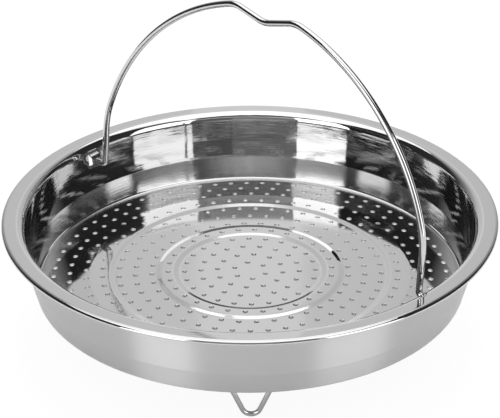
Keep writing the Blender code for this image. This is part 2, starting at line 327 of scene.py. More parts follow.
floor_corners = [
    (0.0, FLOOR, 0.0),
    (BEAD_RADIUS - BEAD_HALF, FLOOR, BEAD_ROUND),
    (BEAD_RADIUS - BEAD_HALF + BEAD_SLOPE, FLOOR + BEAD_HEIGHT, BEAD_ROUND),
    (BEAD_RADIUS + BEAD_HALF - BEAD_SLOPE, FLOOR + BEAD_HEIGHT, BEAD_ROUND),
    (BEAD_RADIUS + BEAD_HALF, FLOOR, BEAD_ROUND),
    (STEP_RADIUS - STEP_HALF, FLOOR, STEP_ROUND),
    (STEP_RADIUS + STEP_HALF, SHELF, STEP_ROUND),
    (SHELF_RADIUS, SHELF, SHELF_ROUND),
]
fall = (RIM_TOP - BASE_DEPTH - SHELF) / (BASE_RADIUS - SHELF_RADIUS)
join_point = (JOIN_RADIUS, SHELF + fall * (JOIN_RADIUS - SHELF_RADIUS), 0.0)
floor_section = rounded_line(floor_corners + [join_point], step=6.0)
wall_corners = [
    join_point,
    (BASE_RADIUS, RIM_TOP - BASE_DEPTH, BASE_ROUND),
    (KNUCKLE_RADIUS, RIM_TOP - KNUCKLE_DEPTH, KNUCKLE_ROUND),
    (WALL_TOP_RADIUS, RIM_TOP, LIP_ROUND),
    (RIM_RADIUS - EDGE_WIDTH, RIM_TOP, EDGE_START_ROUND),
    (RIM_RADIUS, RIM_TOP - EDGE_FALL, EDGE_ROUND),
    (RIM_RADIUS, RIM_TOP - HEM_DROP + SHEET / 2, 0.0),
]
wall_section = rounded_line(wall_corners, step=7.0)
print("section points:", len(floor_section), "on the floor,", len(wall_section), "on the wall")

# %% [markdown]
# ## The perforated blank
#
# The real sheet is perforated while it is flat and pressed afterwards, and this cell
# does the same.  Rings of holes, six more in each ring, are a rule, so Geometry Nodes
# lay them out: every ring is one point that is duplicated round the circle.  Fill
# Curve then triangulates the sheet between the fold circles and the hole circles,
# zone by zone, and a small turned rim is instanced in every hole.

# %% Lay out the rings
HOLE_PITCH = 0.00941
HOLE_RADIUS = 0.00115
EDGE_ROLL = 0.00045
HOLE_RINGS = 12
RING_GROWTH = 6
HOLE_TURN = math.radians(19.9)
HOLE_SIDES = 16
CIRCLE_SIDES = 180
BLANK_WELD = 0.000005


def ring_points():
    """Make one point for every hole ring, and two for every fold circle, one for each side."""
    folds = [point.x for point in floor_section[1:]]
    rows = []
    for zone, radius in enumerate(folds):
        rows.append((radius, 0, 0.0, zone))
        rows.append((radius, 0, 0.0, zone + 1))
    rows.pop()
    for ring in range(1, HOLE_RINGS + 1):
        count = RING_GROWTH * ring
        turn = HOLE_TURN + (math.pi / count if ring % 2 == 0 else 0.0)
        zone = sum(radius < ring * HOLE_PITCH for radius in folds)
        rows.append((ring * HOLE_PITCH, count, turn, zone))
    mesh = bpy.data.meshes.new("floor_blank")
    mesh.from_pydata([(radius, 0.0, 0.0) for radius, *_ in rows], [], [])
    columns = {"ring_radius": "FLOAT", "holes": "INT", "turn": "FLOAT", "zone": "INT"}
    for column, (name, kind) in enumerate(columns.items()):
        layer = mesh.attributes.new(name, kind, "POINT")
        layer.data.foreach_set("value", [row[column] for row in rows])
    return mesh


def hole_rim():
    """Turn the rolled edge and the bore of one hole about the Z axis."""
    corner = EDGE_ROLL * (1 - math.sin(math.radians(45)))
    section = [(EDGE_ROLL, 0.0), (corner, -corner), (0.0, -EDGE_ROLL), (0.0, -SHEET)]
    places = [(HOLE_RADIUS + x, z) for x, z in section]
    return mesh_from(spin(places, HOLE_SIDES, closed=False), "hole_rim")


rim_pattern = linked("hole_rim_pattern", hole_rim())
print("one hole rim has", len(rim_pattern.data.polygons), "faces")


# %% Build the blank's tree
def blank_tree():
    """Build the Geometry Nodes tree of the perforated blank."""
    graph, given = geometry_tree("perforated_blank", {
        "Hole Radius": "Float",
        "Edge Roll": "Float",
        "Sheet": "Float",
        "Hole Sides": "Int",
        "Circle Sides": "Int",
        "Hole Rim": "Object",
        "Material": "Material",
    })

    def named(name, kind="FLOAT"):
        return graph.add("GeometryNodeInputNamedAttribute", {"data_type": kind}, {"Name": name})

    def circle(sides, radius):
        return graph.add("GeometryNodeCurvePrimitiveCircle", {"mode": "RADIUS"},
                         {"Resolution": sides, "Radius": radius})

    def on_points(points, instance, scale=None):
        return graph.add("GeometryNodeInstanceOnPoints", {},
                         {"Points": points, "Instance": instance, "Scale": scale})

    def at(points, place):
        return graph.add("GeometryNodeSetPosition", {}, {"Geometry": points, "Position": place})

    def place(x, y, z):
        return graph.add("ShaderNodeCombineXYZ", {}, {"X": x, "Y": y, "Z": z})

    def joined(*parts):
        node = graph.node("GeometryNodeJoinGeometry")
        for part in reversed(parts):
            graph.tree.links.new(part.socket, node.inputs[0])
        return Value(graph, node.outputs[0])

    def filled(*outlines):
        curves = graph.add("GeometryNodeRealizeInstances", {}, {"Geometry": joined(*outlines)})
        return graph.add("GeometryNodeFillCurve", {"mode": "TRIANGLES"},
                         {"Curve": curves, "Group ID": named("zone", "INT")})

    count = named("holes", "INT")
    radius = named("ring_radius")
    has_holes = graph.add("FunctionNodeCompare", {"data_type": "INT", "operation": "GREATER_THAN"},
                          {"A_INT": count, "B_INT": 0})
    split = graph.node("GeometryNodeSeparateGeometry", {"domain": "POINT"},
                       {"Geometry": given["Geometry"], "Selection": has_holes})
    copies = graph.node("GeometryNodeDuplicateElements", {"domain": "POINT"},
                        {"Geometry": Value(graph, split.outputs[0]), "Amount": count})
    turn = named("turn") + Value(graph, copies.outputs["Duplicate Index"]) * math.tau / count
    holes = at(Value(graph, copies.outputs["Geometry"]),
               place(radius * turn.math("COSINE"), radius * turn.math("SINE"), 0.0))
    centre = at(Value(graph, split.outputs[1]), place(0.0, 0.0, 0.0))
    folds = on_points(centre, circle(given["Circle Sides"], 1.0), place(radius, radius, 1.0))
    top_outline = circle(given["Hole Sides"], given["Hole Radius"] + given["Edge Roll"])
    top = filled(folds, on_points(holes, top_outline))
    low_outline = circle(given["Hole Sides"], given["Hole Radius"])
    low = filled(folds, on_points(holes, low_outline))
    under = graph.add("GeometryNodeFlipFaces", {}, {"Mesh": low})
    under = graph.add("GeometryNodeSetPosition", {},
                      {"Geometry": under, "Offset": place(0.0, 0.0, 0.0 - given["Sheet"])})
    pattern = graph.add("GeometryNodeObjectInfo", {}, {"Object": given["Hole Rim"]}, "Geometry")
    rims = graph.add("GeometryNodeRealizeInstances", {}, {"Geometry": on_points(holes, pattern)})
    sheet = graph.add("GeometryNodeMergeByDistance", {},
                      {"Geometry": joined(top, under, rims), "Distance": BLANK_WELD})
    end_tree(graph, sheet, given["Material"])
    return graph


floor_sheet = run_tree(linked("floor_blank", ring_points()), blank_tree(), {
    "Hole Radius": HOLE_RADIUS,
    "Edge Roll": EDGE_ROLL,
    "Sheet": SHEET,
    "Hole Sides": HOLE_SIDES,
    "Circle Sides": CIRCLE_SIDES,
    "Hole Rim": rim_pattern,
})
print("blank:", len(floor_sheet.data.vertices), "vertices,", len(floor_sheet.data.polygons), "faces")

# %% [markdown]
# ## Pressing the blank
#
# The press lifts every point of the flat blank to the section's height at its radius.
# The bead, the step and the falling floor appear, and the holes stay round.


# %% Press the floor
def press(thing):
    """Lift each point of the flat blank to the height of the section at its radius."""
    mesh = thing.data
    places = np.empty(len(mesh.vertices) * 3, np.float32)
    mesh.vertices.foreach_get("co", places)
    places = places.reshape(-1, 3)
    radii = np.hypot(places[:, 0], places[:, 1])
    places[:, 2] += np.interp(radii, [p.x for p in floor_section], [p.y for p in floor_section])
    mesh.vertices.foreach_set("co", places.ravel())
    mesh.update()


press(floor_sheet)
print("floor from", round(min(v.co.z for v in floor_sheet.data.vertices), 5), "m up")

# %% [markdown]
# ## Turning the wall and the rim
#
# The wall, the lip, the flat rim and the turned-down hem are one closed section spun
# about the axis.  The hem's cut edge is rounded, as a trimmed and tumbled sheet is.


# %% Turn the wall
HEM_EDGE_STEPS = 5


def wall_loop():
    """Close the wall's section: inner face, rounded hem edge, outer face and join."""
    inner = list(wall_section)
    outer = beside(wall_section, SHEET)
    outer[0] = inner[0] - Vector((0.0, SHEET))
    middle = (inner[-1] + outer[-1]) / 2
    arm = inner[-1] - middle
    turns = [-math.pi * i / HEM_EDGE_STEPS for i in range(1, HEM_EDGE_STEPS)]
    edge = [middle + Matrix.Rotation(turn, 2) @ arm for turn in turns]
    return inner + edge + outer[::-1]


def turn_wall():
    """Spin the wall's closed section about the Z axis."""
    bm = spin(wall_loop(), CIRCLE_SIDES, closed=True)
    bmesh.ops.recalc_face_normals(bm, faces=bm.faces[:])
    return linked("wall_ring", mesh_from(bm, "wall_ring"))


wall = turn_wall()
print("wall:", len(wall.data.polygons), "faces")

# %% [markdown]
# ## Piercing the two windows
#
# Behind each lug the wall is pierced with an upright rounded slot, into which the
# bail's end reaches.  A Boolean with a rounded prism cuts both at once.

# %% Pierce the windows
WINDOW_WIDTH = 0.0060
WINDOW_HEIGHT = 0.0105
WINDOW_ROUND = 0.0016
PRISM_START = 0.121
PRISM_LENGTH = 0.012


def window_prisms():
    """Make the two rounded prisms that pierce the wall behind the lugs."""
    half_width, half_height = WINDOW_WIDTH / 2, WINDOW_HEIGHT / 2
    box = [(half_width, half_height), (-half_width, half_height), (-half_width, -half_height),
           (half_width, -half_height)]
    start = (half_width, 0.0, 0.0)
    corners = [start, *[(x, y, WINDOW_ROUND) for x, y in box], start]
    outline = rounded_line(corners, step=15.0)[:-1]
    bm = bmesh.new()
    for side in (-1, 1):
        ring = [bm.verts.new((side * PRISM_START, p.x, PIVOT.z + p.y)) for p in outline]
        pull(bm, ring, (side * PRISM_LENGTH, 0.0, 0.0))
    bmesh.ops.recalc_face_normals(bm, faces=bm.faces[:])
    return linked("window_prisms", mesh_from(bm, "window_prisms"))


def cut_with(thing, cutter):
    """Cut one solid with another, and take the cutter away."""
    modifier = thing.modifiers.new("cut", "BOOLEAN")
    modifier.operation = "DIFFERENCE"
    modifier.solver = "EXACT"
    modifier.object = cutter
    settle(thing)
    bpy.data.objects.remove(cutter, do_unlink=True)


cut_with(wall, window_prisms())
print("wall with windows:", len(wall.data.polygons), "faces")

# %% [markdown]
# ## One bowl
#
# The wall's closing face at the join goes, the two meshes are welded on the join's
# circle, and the normals are weighted by area so that flat polished parts stay flat.
# A face attribute tells the polished side from the satin one.

# %% Weld the bowl
JOIN_SLACK = 2e-5
JOIN_WELD = 1e-5
SATIN_TILT = 0.3
HEM_POLISHED = 1.5 * SHEET


def soften(thing, angle):
    """Shade a piece smooth, with its sharper edges kept."""
    bm = bmesh.new()
    bm.from_mesh(thing.data)
    for edge in bm.edges:
        edge.smooth = edge.is_manifold and edge.calc_face_angle(0.0) < math.radians(angle)
    for face in bm.faces:
        face.smooth = True
    bm.to_mesh(thing.data)
    bm.free()
    modifier = thing.modifiers.new("weighted", "WEIGHTED_NORMAL")
    modifier.keep_sharp = True
    settle(thing)


def weld_bowl():
    """Weld the pressed floor and the turned wall into one piece."""
    bm = bmesh.new()
    bm.from_mesh(wall.data)
    closing = [face for face in bm.faces
               if all(abs(v.co.xy.length - JOIN_RADIUS) < JOIN_SLACK for v in face.verts)]
    bmesh.ops.delete(bm, geom=closing, context="FACES")
    bm.from_mesh(floor_sheet.data)
    bmesh.ops.remove_doubles(bm, verts=bm.verts[:], dist=JOIN_WELD)
    print("open edges left:", sum(not edge.is_manifold for edge in bm.edges))
    mesh = mesh_from(bm, "basket_bowl_fine")
    for thing in (wall, floor_sheet, rim_pattern):
        bpy.data.objects.remove(thing, do_unlink=True)
    return linked("basket_bowl_fine", mesh)


def mark_satin(thing):
    """Mark the faces of the bowl's outside and underside, which are left satin."""
    count = len(thing.data.polygons)
    normals = np.empty(count * 3, np.float32)
    centres = np.empty(count * 3, np.float32)
    thing.data.polygons.foreach_get("normal", normals)
    thing.data.polygons.foreach_get("center", centres)
    normals, centres = normals.reshape(-1, 3), centres.reshape(-1, 3)
    radii = np.hypot(centres[:, 0], centres[:, 1])
    outward = (normals[:, :2] * centres[:, :2]).sum(axis=1) / np.maximum(radii, 1e-6)
    satin = (normals[:, 2] < -SATIN_TILT) | ((outward > SATIN_TILT) & (radii > JOIN_RADIUS))
    satin &= radii < RIM_RADIUS - HEM_POLISHED
    layer = thing.data.attributes.new("satin", "FLOAT", "FACE")
    layer.data.foreach_set("value", satin.astype(np.float32))
    return int(satin.sum())


bowl = weld_bowl()
soften(bowl, angle=50.0)
print("satin faces:", mark_satin(bowl), "of", len(bowl.data.polygons))

# %% [markdown]
# ## Bent wire
#
# The bail and the feet are the same thing: a round wire that follows a path of
# straights and tangent arcs.  One Geometry Nodes tree sweeps a circle along any such
# path, scaled where a head is swollen or an end is broken, and it keeps how far along
# and how far around each point lies, for the drawing marks of the wire.


# %% Build the wire's tree
def wire_tree():
    """Build the Geometry Nodes tree of a bent wire."""
    graph, given = geometry_tree("bent_wire", {
        "Wire Radius": "Float",
        "Sides": "Int",
        "Material": "Material",
    })

    def store(geometry, name, kind, value):
        return graph.add("GeometryNodeStoreNamedAttribute", {"data_type": kind, "domain": "POINT"},
                         {"Geometry": geometry, "Name": name, "Value": value})

    path = graph.add("GeometryNodeMeshToCurve", {}, {"Mesh": given["Geometry"]})
    along = graph.add("GeometryNodeSplineParameter", {}, {}, "Length")
    path = store(path, "along", "FLOAT", along)
    ring = graph.add("GeometryNodeCurvePrimitiveCircle", {"mode": "RADIUS"},
                     {"Resolution": given["Sides"], "Radius": given["Wire Radius"]})
    ring = store(ring, "around", "FLOAT_VECTOR", graph.add("GeometryNodeInputPosition"))
    width = graph.add("GeometryNodeInputNamedAttribute", {"data_type": "FLOAT"}, {"Name": "width"})
    swept = graph.add("GeometryNodeCurveToMesh", {},
                      {"Curve": path, "Profile Curve": ring, "Scale": width, "Fill Caps": True})
    end_tree(graph, swept, given["Material"])
    return graph


WIRE_TREE = wire_tree()
WIRE_SIDES = 24


def bent_wire(name, points, widths, radius):
    """Bend one wire along 3-D points, with a width factor at each of them."""
    mesh = bpy.data.meshes.new(name)
    mesh.from_pydata(points, [(i, i + 1) for i in range(len(points) - 1)], [])
    mesh.attributes.new("width", "FLOAT", "POINT").data.foreach_set("value", widths)
    thing = run_tree(linked(name, mesh), WIRE_TREE, {"Wire Radius": radius, "Sides": WIRE_SIDES})
    soften(thing, angle=35.0)
    return thing


print("wire tree ready")

# %% [markdown]
# ## Where the bail meets its lugs
#
# A lug bridges a window in the leaning wall, and the bail's end passes through it.
# The bail's head sits behind the lug's crown, at the distance that the solids give it:
# the lug's stand-off, its gap to the wall, the head's clearance and the side play.

# %% Measure the meeting place
WALL_LEAN = (WALL_TOP_RADIUS - KNUCKLE_RADIUS) / KNUCKLE_DEPTH
WALL_AT_PIVOT = WALL_TOP_RADIUS - WALL_LEAN * (RIM_TOP - PIVOT.z)
LUG_THICKNESS = 0.0008
LUG_STAND_OFF = 0.0043
SOLID_GAP = 0.0003
HEAD_CLEARANCE = 0.0006
SIDE_PLAY = 0.0020
HEAD_INNER = WALL_AT_PIVOT - SOLID_GAP - LUG_STAND_OFF + LUG_THICKNESS + SIDE_PLAY + HEAD_CLEARANCE
print("wall at the pivot", round(WALL_AT_PIVOT, 4), "head from", round(HEAD_INNER, 4))

# %% [markdown]
# ## The bail
#
# From each lug the wire turns up, runs straight, leans over a shoulder into a wide
# flat arch, and dips in the middle for the fingers.  It hangs a few degrees off
# upright and two millimetres to one side, as loose bails do.

# %% Bend the bail
BAIL_RADIUS = 0.0019
LEG_OFF_WALL = 0.0092
HALF_SPAN = WALL_AT_PIVOT - LEG_OFF_WALL
BAIL_HEIGHT = 0.1266
BAIL_LEG = 0.0222
SHOULDER_ROUND = 0.0555
ARCH_ROUND = 0.1329
GRIP_HALF_WIDTH = 0.0216
GRIP_DIP = 0.0056
GRIP_ROUND = 0.016
GRIP_LEAD = 3
BAIL_END_ROUND = 0.0026
BAIL_TILT = math.radians(-5.1)
HEAD_LENGTH = 0.0009
HEAD_WIDTH = 5.3 / 3.8
HEAD_EDGE = 0.0002
HEAD_STEP = 0.00005
HEAD_SHAPE = [(HEAD_LENGTH, 0.82), (HEAD_LENGTH - HEAD_EDGE, 0.97), (HEAD_LENGTH / 2, 1.0),
              (HEAD_EDGE, 0.97), (0.0, 0.82)]


def arc(centre, radius, start, end, step):
    """List the points of an arc, without its first one."""
    count = max(2, round(abs(math.degrees(end - start)) / step))
    turns = [start + (end - start) * i / count for i in range(1, count + 1)]
    return [centre + radius * Vector((math.cos(turn), math.sin(turn))) for turn in turns]


def bail_half():
    """Draw half of the bail, from the start of its leg to the middle of the grip.

    The crown's last points give way to the round that leads into the grip.
    """
    shoulder = Vector((HALF_SPAN - SHOULDER_ROUND, BAIL_LEG))
    corner = Vector((GRIP_HALF_WIDTH, BAIL_HEIGHT))
    apart = corner - shoulder
    inward = ARCH_ROUND - SHOULDER_ROUND
    cosine = (inward ** 2 + apart.length ** 2 - ARCH_ROUND ** 2) / (2 * inward * apart.length)
    arch = shoulder + Matrix.Rotation(math.acos(cosine), 2) @ apart.normalized() * inward
    joined = math.atan2(shoulder.y - arch.y, shoulder.x - arch.x)
    last = math.atan2(corner.y - arch.y, corner.x - arch.x)
    line = [Vector((HALF_SPAN, BAIL_LEG))]
    line += arc(shoulder, SHOULDER_ROUND, 0.0, joined, step=2.0)
    crown = arc(arch, ARCH_ROUND, joined, last, step=1.5)
    line += crown[:-GRIP_LEAD]
    dip = [(*crown[-GRIP_LEAD], 0.0), (*corner, GRIP_ROUND),
           (0.0, BAIL_HEIGHT - GRIP_DIP, GRIP_ROUND), (-corner.x, corner.y, 0.0)]
    return line + [point for point in rounded_line(dip, step=3.0) if point.x > -1e-6]


def bail_side():
    """List one side of the bail, from its head inward, as (point, width) pairs."""
    pairs = [(Vector((HEAD_INNER + x, 0.0)), width * HEAD_WIDTH) for x, width in HEAD_SHAPE]
    bend = rounded_line([(HEAD_INNER - HEAD_STEP, 0.0, 0.0), (HALF_SPAN, 0.0, BAIL_END_ROUND),
                         (HALF_SPAN, BAIL_LEG, 0.0)], step=6.0)
    return pairs + [(point, 1.0) for point in bend[:-1] + bail_half()]


def bend_bail():
    """Bend the whole bail and lean it about its pivot."""
    side = bail_side()
    pairs = side + [(Vector((-p.x, p.y)), width) for p, width in side[-2::-1]]
    lean = Matrix.Rotation(BAIL_TILT, 3, "X")
    points = [PIVOT + lean @ Vector((SIDE_PLAY + p.x, 0.0, p.y)) for p, _ in pairs]
    return bent_wire("bail_wire", points, [width for _, width in pairs], BAIL_RADIUS)


bail = bend_bail()
print("bail:", len(bail.data.polygons), "faces")

# %% [markdown]
# ## The lugs
#
# Each lug is a short strip, pressed into a bridge, with a hole for the bail's end and
# two flat tabs that are spot welded to the wall above and below the window.

# %% Make the lugs
LUG_WIDTH = 0.0066
LUG_HEIGHT = 0.0112
LUG_TAB = 0.0016
LUG_SLOPE = 0.0008
LUG_ROUND = 0.0034
LUG_HOLE_RADIUS = 0.0022
LUG_EDGE = 0.00028
LUG_GAP = 0.00005


def strip_loop():
    """Draw the strip from the side, as distances off its seat and heights."""
    half = LUG_HEIGHT / 2
    crown = half - LUG_TAB - LUG_SLOPE
    front = rounded_line([
        (LUG_THICKNESS, -half, 0.0),
        (LUG_THICKNESS, LUG_TAB - half, LUG_THICKNESS),
        (LUG_STAND_OFF, -crown, LUG_ROUND),
        (LUG_STAND_OFF, crown, LUG_ROUND),
        (LUG_THICKNESS, half - LUG_TAB, LUG_THICKNESS),
        (LUG_THICKNESS, half, 0.0),
    ], step=9.0)
    return front + beside(front, -LUG_THICKNESS)[::-1]


def make_lug(name, side):
    """Make one bridge lug on the wall, with its hole and its broken edges."""
    bow = LUG_WIDTH ** 2 / 8 / WALL_AT_PIVOT
    seat = WALL_AT_PIVOT - bow - LUG_GAP
    bm = bmesh.new()
    loop = [(seat + WALL_LEAN * p.y - p.x, p.y + PIVOT.z) for p in strip_loop()]
    ring = [bm.verts.new((x, -LUG_WIDTH / 2, z)) for x, z in loop]
    pull(bm, ring, (0.0, LUG_WIDTH, 0.0))
    bmesh.ops.recalc_face_normals(bm, faces=bm.faces[:])
    lug = linked(name, mesh_from(bm, name))
    cut_with(lug, hole_cutter())
    bevel = lug.modifiers.new("edges", "BEVEL")
    bevel.width = LUG_EDGE
    bevel.segments = 3
    bevel.limit_method = "ANGLE"
    bevel.angle_limit = math.radians(40)
    settle(lug)
    if side < 0:
        lug.data.transform(Matrix.Rotation(math.pi, 4, "Z"))
    soften(lug, angle=60.0)
    return lug


def hole_cutter():
    """Make the cylinder that pierces a lug on the pivot's axis."""
    bm = bmesh.new()
    place = Matrix.Translation((WALL_AT_PIVOT - LUG_STAND_OFF, 0.0, PIVOT.z))
    bmesh.ops.create_cone(bm, cap_ends=True, segments=32, radius1=LUG_HOLE_RADIUS,
                          radius2=LUG_HOLE_RADIUS, depth=2 * LUG_STAND_OFF,
                          matrix=place @ Matrix.Rotation(math.pi / 2, 4, "Y"))
    return linked("lug_hole", mesh_from(bm, "lug_hole"))


lugs = [make_lug("lug_strip_right", 1), make_lug("lug_strip_left", -1)]
print("lug:", len(lugs[0].data.polygons), "faces")

# %% [markdown]
# ## The feet
#
# Three V-shaped feet are bent from a slightly thinner wire.  Their two ends are
# turned flat under the floor's falling part, where they are spot welded.

# %% Bend the feet
FOOT_WIRE_RADIUS = 0.0014
FOOT_INSET = 0.0236
FOOT_RADIUS = BASE_RADIUS - FOOT_INSET
FOOT_TURNS = [math.radians(turn) for turn in (-48.5, 71.5, 191.5)]
FOOT_SPREAD = math.radians(24)
FOOT_BEND_ROUND = 0.0052
FOOT_END_ROUND = 0.0030
FOOT_END_LENGTH = 0.0100
FOOT_END_SHAPE = [(0.0, 0.80), (0.0001, 0.93), (0.0003, 1.0)]
FOOT_SEAT = 0.0001
SEATING_PASSES = 4


def foot_half():
    """Find the corners of half a foot's centre line.

    The floor falls outward, so the height of the flat ends depends on how far they
    reach, and a few passes bring the two together.
    """
    tip = FOOT_WIRE_RADIUS - FOOT_BEND_ROUND * (1 / math.sin(FOOT_SPREAD) - 1)
    far = FOOT_END_LENGTH
    for _ in range(SEATING_PASSES):
        radius = math.hypot(FOOT_RADIUS + FOOT_WIRE_RADIUS, far)
        under = SHELF + fall * (radius - SHELF_RADIUS) - SHEET * math.hypot(1, fall)
        top = under - FOOT_WIRE_RADIUS - FOOT_SEAT
        reach = (top - tip) * math.tan(FOOT_SPREAD)
        far = reach + FOOT_END_LENGTH
    return reach, far, tip, top


def bend_foot(name, turn):
    """Bend one foot and turn it to its place round the axis."""
    reach, far, tip, top = foot_half()
    line = rounded_line([(-far, top, 0.0), (-reach, top, FOOT_END_ROUND), (0.0, tip, FOOT_BEND_ROUND),
                         (reach, top, FOOT_END_ROUND), (far, top, 0.0)], step=6.0)
    pairs = [(line[0] + Vector((shift, 0.0)), width) for shift, width in FOOT_END_SHAPE]
    pairs += [(point, 1.0) for point in line[1:-1]]
    pairs += [(line[-1] - Vector((shift, 0.0)), width) for shift, width in FOOT_END_SHAPE[::-1]]
    placed = Matrix.Rotation(turn, 3, "Z")
    points = [placed @ Vector((FOOT_RADIUS, p.x, p.y)) for p, _ in pairs]
    return bent_wire(name, points, [width for _, width in pairs], FOOT_WIRE_RADIUS)


feet = [bend_foot(f"foot_wire_{i + 1}", turn) for i, turn in enumerate(FOOT_TURNS)]
print("foot:", len(feet[0].data.polygons), "faces")

# %% [markdown]
# ## Stainless steel
#
# All parts are the same bare metal, and they differ only in how it was finished.  A
# mirror polish leaves a faint waviness from the pressing and fine circular marks, a
# satin wall is brushed round and round, and drawn wire has marks along its length.


# %% A shader that ends in metal
class Shader(Graph):
    """A material's node tree, with a metal shader at its end."""

    def __init__(self, name):
        material = bpy.data.materials.new(name)
        material.use_nodes = True
        material.node_tree.nodes.clear()
        super().__init__(material.node_tree)
        self.material = material

    def attribute(self, name, output="Fac"):
        return self.add("ShaderNodeAttribute", {"attribute_name": name}, {}, output)

    def point(self):
        return self.add("ShaderNodeTexCoord", {}, {}, "Object")

    def parts(self, vector):
        split = self.node("ShaderNodeSeparateXYZ", {}, {"Vector": vector})
        return [Value(self, socket) for socket in split.outputs]

    def vector(self, x, y, z):
        return self.add("ShaderNodeCombineXYZ", {}, {"X": x, "Y": y, "Z": z})

    def noise(self, vector, scale, detail=2.0):
        return self.add("ShaderNodeTexNoise", {"noise_dimensions": "3D"},
                        {"Vector": vector, "Scale": scale, "Detail": detail})

    def bump(self, height, strength, distance, normal=None):
        return self.add("ShaderNodeBump", {}, {"Height": height, "Strength": strength,
                                              "Distance": distance, "Normal": normal})

    def metal(self, color, roughness, normal=None, grain=0.0, grain_turn=0.0):
        """End in bare metal, whose grain stretches its highlights."""
        shader = self.add("ShaderNodeBsdfPrincipled", {}, {
            "Base Color": color,
            "Metallic": 1.0,
            "Roughness": roughness,
            "Normal": normal,
            "Anisotropic": grain,
            "Anisotropic Rotation": grain_turn,
        })
        self.node("ShaderNodeOutputMaterial", {}, {"Surface": shader})
        return self.material


print("shader helper ready")

# %% [markdown]
# ## Finishes in numbers
#
# The scales count noise cells per metre, or per radian round the axis.  Each roughness
# is what a finish adds, each bump has a strength, and each relief is a depth in metres.

# %% Make the steels
STEEL = (0.585, 0.585, 0.585, 1.0)
WAVE_SCALE = 28.0
WAVE_BUMP = 0.3
WAVE_RELIEF = 0.0003
RIPPLE_SCALE = 50.0
RIPPLE_SCALE_UP = 600.0
RIPPLE_RELIEF = 0.00005
BRUSH_TURNS = 1.2
BRUSH_SCALE = 900.0
BRUSH_RELIEF = 0.0002
POLISHED_BUMP = 0.015
SATIN_BUMP = 0.10
POLISHED_ROUGH = 0.04
SATIN_ROUGH = 0.26
DRAWN_ROUGH = 0.07
POLISHED_MARKS = 0.02
SATIN_MARKS = 0.06
GRAIN = 1.0
GRAIN_TURN = 0.25
WIRE_SCALE_ACROSS = 1400.0
WIRE_SCALE_ALONG = 40.0
WIRE_MARKS = 0.05
WIRE_BUMP = 0.06
BAIL_ROUGH = 0.04
FOOT_ROUGH = 0.05
TUMBLED_ROUGH = 0.12
DENT_SCALE = 900.0
DENT_ROUGH = 0.12
DENT_BUMP = 0.25
FINE_RELIEF = 0.0001


def sheet_steel():
    """Polished sheet, satin on the faces that the satin attribute marks."""
    g = Shader("polished_and_satin_sheet")
    place = g.point()
    x, y, z = g.parts(place)
    radius = (x * x + y * y).math("SQRT")
    turn = y.math("ARCTAN2", x)
    satin = g.attribute("satin")
    polished = 1.0 - satin
    upright = radius.math("GREATER_THAN", JOIN_RADIUS)
    drawn = upright * z.math("LESS_THAN", RIM_TOP - KNUCKLE_DEPTH) * polished
    waves = g.noise(place, WAVE_SCALE, detail=1.0)
    ripple_place = g.vector(x * RIPPLE_SCALE, y * RIPPLE_SCALE, z * RIPPLE_SCALE_UP)
    ripples = g.noise(ripple_place, 1.0, detail=2.0)
    brush_place = g.vector(turn * BRUSH_TURNS, radius * BRUSH_SCALE, z * BRUSH_SCALE)
    marks = g.noise(brush_place, 1.0, detail=3.0)
    rough = POLISHED_ROUGH + satin * SATIN_ROUGH + drawn * DRAWN_ROUGH
    rough = rough + marks * (POLISHED_MARKS + satin * SATIN_MARKS)
    wavy = g.bump(waves, WAVE_BUMP, WAVE_RELIEF)
    rippled = g.bump(ripples, upright * polished, RIPPLE_RELIEF, wavy)
    brushed = g.bump(marks, satin * SATIN_BUMP + POLISHED_BUMP, BRUSH_RELIEF, rippled)
    return g.metal(STEEL, rough, brushed, GRAIN, GRAIN_TURN)


def wire_steel(name, rough):
    """Polished drawn wire, with faint marks along its length."""
    g = Shader(name)
    around = g.parts(g.attribute("around", "Vector"))
    along = g.attribute("along")
    across = [side * WIRE_SCALE_ACROSS for side in around[:2]]
    marks = g.noise(g.vector(*across, along * WIRE_SCALE_ALONG), 1.0, detail=2.0)
    return g.metal(STEEL, rough + marks * WIRE_MARKS, g.bump(marks, WIRE_BUMP, FINE_RELIEF))


def tumbled_steel():
    """Tumbled strip, with the soft dents that the stones leave."""
    g = Shader("tumbled_strip")
    dents = g.noise(g.point(), DENT_SCALE, detail=2.0)
    rough = TUMBLED_ROUGH + dents * DENT_ROUGH
    return g.metal(STEEL, rough, g.bump(dents, DENT_BUMP, FINE_RELIEF))


def dress(thing, material):
    """Give a piece its one material."""
    thing.data.materials.clear()
    thing.data.materials.append(material)


dress(bowl, sheet_steel())
dress(bail, wire_steel("polished_bail_wire", BAIL_ROUGH))
lug_metal = tumbled_steel()
for lug in lugs:
    dress(lug, lug_metal)
foot_metal = wire_steel("polished_foot_wire", FOOT_ROUGH)
for foot in feet:
    dress(foot, foot_metal)
print("materials:", [material.name for material in bpy.data.materials][:8])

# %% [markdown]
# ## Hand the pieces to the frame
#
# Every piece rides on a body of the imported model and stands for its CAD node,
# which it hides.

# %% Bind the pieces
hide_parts("basket_bowl")
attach(bowl, "basket")
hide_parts("bail_handle")
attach(bail, "bail")
for lug, node in zip(lugs, ("bail_lug_right", "bail_lug_left")):
    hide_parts(node)
    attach(lug, "basket")
for index, foot in enumerate(feet):
    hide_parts(f"wire_foot_{index + 1}")
    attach(foot, "basket")
print("pieces bound:", 1 + 1 + len(lugs) + len(feet))

# %% [markdown]
# ## The studio
#
# Polished steel shows its studio.  The photo's reflections say what that was: a white
# table and backdrop, a dark room at the sides, a tall soft box on each side of the
# camera and a wide one overhead.  The cards below are seen only in reflections, so
# they cast no shadow and add no light, and each is placed by its angles as the basket
# sees them.

# %% Helpers for cards of light
CAMERA_TURN = math.radians(41.4)
CARD_DISTANCE = 1.5
CARD_COLUMNS = 12


